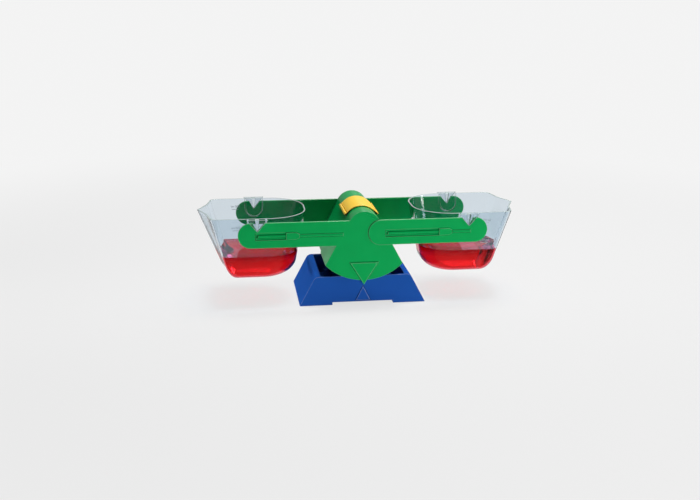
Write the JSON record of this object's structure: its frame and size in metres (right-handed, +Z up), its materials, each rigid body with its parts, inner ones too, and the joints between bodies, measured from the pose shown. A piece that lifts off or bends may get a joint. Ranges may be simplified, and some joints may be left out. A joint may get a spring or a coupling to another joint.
{
  "type": "bucket balance",
  "caption": "Toy bucket balance: clear spouted buckets hang on knife edges from a tilting beam with a fan-shaped pointer plate and a zero slider, on a sloped base.",
  "frame": {"origin": "on the table under the middle of the base, below the pivot axis", "axes": "+X along the beam to the right bucket, +Y to the back along the pivot axis, +Z up"},
  "size_m": [0.395, 0.125, 0.1207],
  "materials": {
    "green_plastic": "glossy moulded",
    "blue_plastic": "satin moulded",
    "yellow_plastic": "glossy moulded",
    "clear_plastic": "clear polished",
    "steel": "zinc plated"
  },
  "bodies": {
    "base": {"base_shell": "blue_plastic", "fulcrum_post": "blue_plastic", "post_screw_1": "steel", "post_screw_2": "steel", "post_screw_3": "steel", "post_screw_4": "steel"},
    "beam": {"pivot_axle": "steel", "front_beam_half": "green_plastic", "rear_beam_half": "green_plastic", "front_right_arm": "green_plastic", "rear_left_arm": "green_plastic", "front_arm_screw_1": "steel", "front_arm_screw_2": "steel", "rear_arm_screw_1": "steel", "rear_arm_screw_2": "steel"},
    "slider": {"zero_slider": "yellow_plastic"},
    "left_bucket": {"left_bucket": "clear_plastic"},
    "right_bucket": {"right_bucket": "clear_plastic"}
  },
  "joints": [
    {"name": "beam_tilt", "type": "hinge", "parent": "base", "child": "beam", "pos_m": [0, 0, 0.0987], "axis": [0, 1, 0], "range_deg": [-12, 12]},
    {"name": "slider_shift", "type": "hinge", "parent": "beam", "child": "slider", "pos_m": [0, 0, 0.0987], "axis": [0, 1, 0], "range_deg": [-12, 12]},
    {"name": "left_bucket_swing", "type": "hinge", "parent": "beam", "child": "left_bucket", "pos_m": [-0.127, 0, 0.099], "axis": [0, 1, 0], "range_deg": [-15, 15]},
    {"name": "right_bucket_swing", "type": "hinge", "parent": "beam", "child": "right_bucket", "pos_m": [0.127, 0, 0.099], "axis": [0, 1, 0], "range_deg": [-15, 15]}
  ]
}
